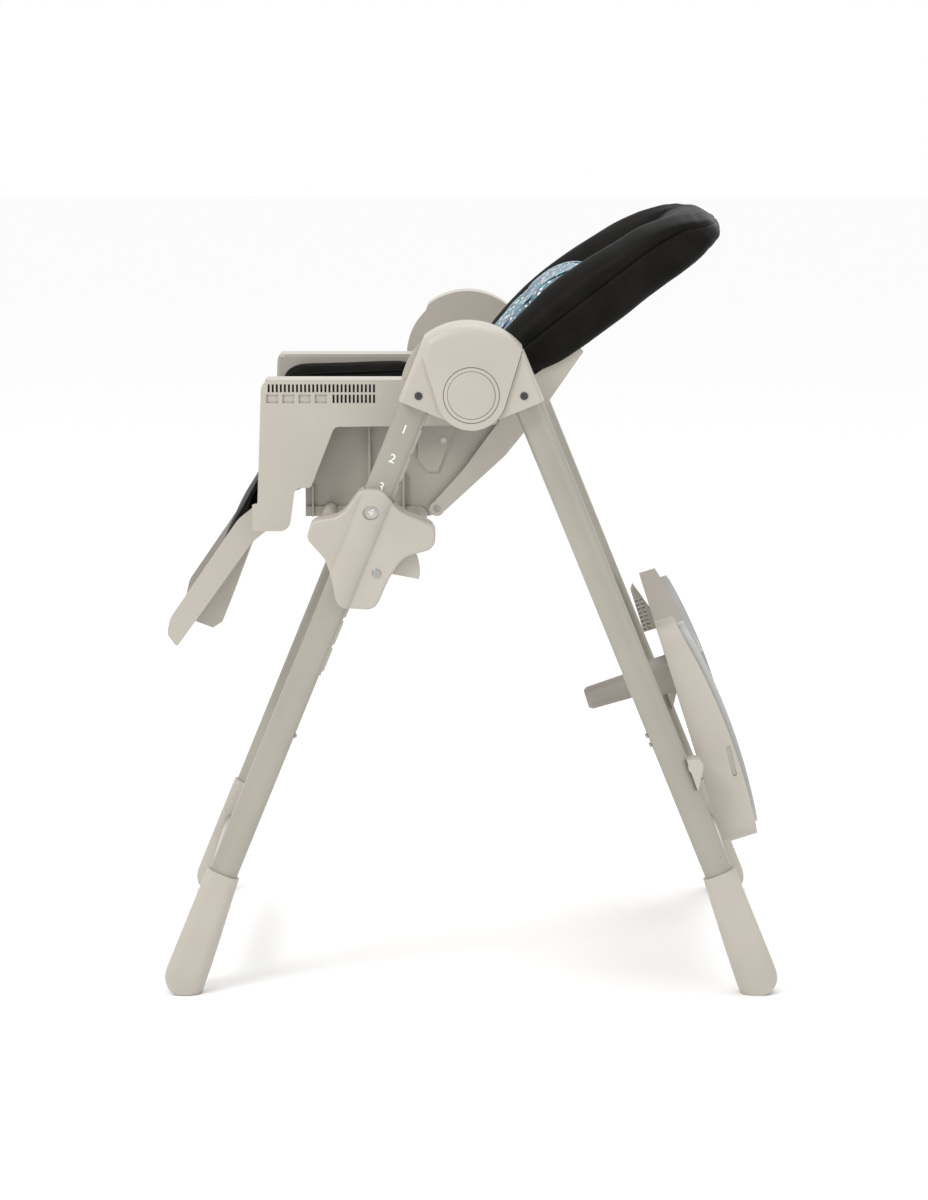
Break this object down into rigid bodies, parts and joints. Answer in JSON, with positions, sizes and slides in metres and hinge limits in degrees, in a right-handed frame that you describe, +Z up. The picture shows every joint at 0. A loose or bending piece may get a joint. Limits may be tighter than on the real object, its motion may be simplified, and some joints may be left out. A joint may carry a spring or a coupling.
{
  "type": "baby high chair",
  "caption": "Folding baby high chair with a height-adjustable seat, reclining padded back, tilting leg rest and a lift-off tray stored on the rear legs.",
  "frame": {"origin": "on the floor, midway between the left and right legs, below the fold hinge", "axes": "+Z up; +X towards the child's left side; -Y is the way the child faces"},
  "size_m": [0.5724, 0.7343, 0.9295],
  "materials": {
    "plastic": "satin moulded, light warm grey",
    "tube_paint": "satin grey-beige powder coat",
    "insert_plastic": "light grey, slightly glossy",
    "dark_plastic": "dark grey",
    "black_cover": "soft black wipe-clean cover",
    "printed_cloth": "blue cloth with light specks",
    "black_webbing": "black woven webbing",
    "steel": "bright plated",
    "rubber": "black",
    "clear": "clear window"
  },
  "bodies": {
    "front_frame": {"hub_shell_left": "plastic", "hub_shell_right": "plastic", "pivot_bolts": "steel", "front_hub_screws": "dark_plastic", "fold_button_springs": "steel", "front_tube_left": "tube_paint", "front_tube_right": "tube_paint", "height_racks": "tube_paint", "front_lower_tube_left": "tube_paint", "front_lower_tube_right": "tube_paint", "front_boot_left": "plastic", "front_boot_right": "plastic", "front_foot_pads": "rubber", "front_crossbar": "tube_paint", "front_tube_screws": "steel"},
    "fold_button_left": {"fold_button_left": "plastic"},
    "fold_button_right": {"fold_button_right": "plastic"},
    "rear_frame": {"rear_hub_lobe_left": "plastic", "rear_hub_lobe_right": "plastic", "rear_hub_screws": "dark_plastic", "rear_tube_left": "tube_paint", "rear_tube_right": "tube_paint", "rear_lower_tube_left": "tube_paint", "rear_lower_tube_right": "tube_paint", "rear_boot_left": "plastic", "rear_boot_right": "plastic", "rear_crossbar": "tube_paint", "rear_tube_screws": "steel", "tray_pegs": "plastic", "wheel_axles": "steel"},
    "rear_wheel_left": {"rear_wheel_left": "rubber"},
    "rear_wheel_right": {"rear_wheel_right": "rubber"},
    "seat": {"slider_left": "plastic", "slider_right": "plastic", "slider_backs": "plastic", "window_lenses": "clear", "slider_screws": "steel", "seat_bucket": "plastic", "side_panel_left": "plastic", "side_panel_right": "plastic", "seat_cushion": "black_cover", "crotch_strap": "black_webbing", "harness_buckle": "dark_plastic", "hinge_pins": "steel", "seat_screws": "steel"},
    "height_lever_left": {"height_lever_left": "plastic"},
    "height_lever_right": {"height_lever_right": "plastic"},
    "backrest": {"back_shell": "plastic", "back_cushion": "black_cover", "back_pad": "printed_cloth", "shoulder_straps": "black_webbing"},
    "recline_handle": {"recline_handle": "dark_plastic"},
    "legrest": {"legrest_board": "plastic", "legrest_cover": "plastic", "legrest_cushion": "black_cover"},
    "tray": {"tray": "plastic", "tray_rail": "plastic", "crotch_post": "plastic"},
    "tray_insert": {"tray_insert": "insert_plastic"},
    "tray_latch": {"tray_latch": "dark_plastic"}
  },
  "joints": [
    {"name": "legs_fold", "type": "hinge", "parent": "front_frame", "child": "rear_frame", "pos_m": [0, 0, 0.7226], "axis": [-1, 0, 0], "range_deg": [0, 44]},
    {"name": "fold_button_left_press", "type": "slide", "parent": "front_frame", "child": "fold_button_left", "axis": [-1, 0, 0], "range_m": [0, 0.006], "stiffness_N_per_m": 300},
    {"name": "fold_button_right_press", "type": "slide", "parent": "front_frame", "child": "fold_button_right", "axis": [1, 0, 0], "range_m": [0, 0.006], "stiffness_N_per_m": 300},
    {"name": "seat_height", "type": "slide", "parent": "front_frame", "child": "seat", "axis": [0, 0.3778, 0.9259], "range_m": [-0.07, 0.105]},
    {"name": "height_lever_left_squeeze", "type": "hinge", "parent": "seat", "child": "height_lever_left", "pos_m": [0.251, -0.1109, 0.5123], "axis": [1, 0, 0], "range_deg": [0, 18], "stiffness_Nm_per_rad": 0.5},
    {"name": "height_lever_right_squeeze", "type": "hinge", "parent": "seat", "child": "height_lever_right", "pos_m": [-0.251, -0.1109, 0.5123], "axis": [1, 0, 0], "range_deg": [0, 18], "stiffness_Nm_per_rad": 0.5},
    {"name": "recline", "type": "hinge", "parent": "seat", "child": "backrest", "pos_m": [0, -0.041, 0.5728], "axis": [1, 0, 0], "range_deg": [0, 33]},
    {"name": "recline_handle_pull", "type": "slide", "parent": "backrest", "child": "recline_handle", "axis": [0, 0.6274, 0.7787], "range_m": [0, 0.01], "stiffness_N_per_m": 300},
    {"name": "legrest_tilt", "type": "hinge", "parent": "seat", "child": "legrest", "pos_m": [0, -0.238, 0.566], "axis": [-1, 0, 0], "range_deg": [-12, 50]},
    {"name": "tray_lift_off", "type": "slide", "parent": "rear_frame", "child": "tray", "axis": [0, 0.9529, 0.3034], "range_m": [0, 0.3]},
    {"name": "tray_insert_lift_off", "type": "slide", "parent": "tray", "child": "tray_insert", "axis": [0, 0.9529, 0.3034], "range_m": [0, 0.08]},
    {"name": "tray_latch_pull", "type": "slide", "parent": "tray", "child": "tray_latch", "axis": [0, 0.3034, -0.9529], "range_m": [0, 0.006], "stiffness_N_per_m": 300},
    {"name": "rear_wheel_left_spin", "type": "hinge", "parent": "rear_frame", "child": "rear_wheel_left", "pos_m": [0.25, 0.352, 0.017], "axis": [1, 0, 0], "continuous": true},
    {"name": "rear_wheel_right_spin", "type": "hinge", "parent": "rear_frame", "child": "rear_wheel_right", "pos_m": [-0.25, 0.352, 0.017], "axis": [1, 0, 0], "continuous": true}
  ]
}
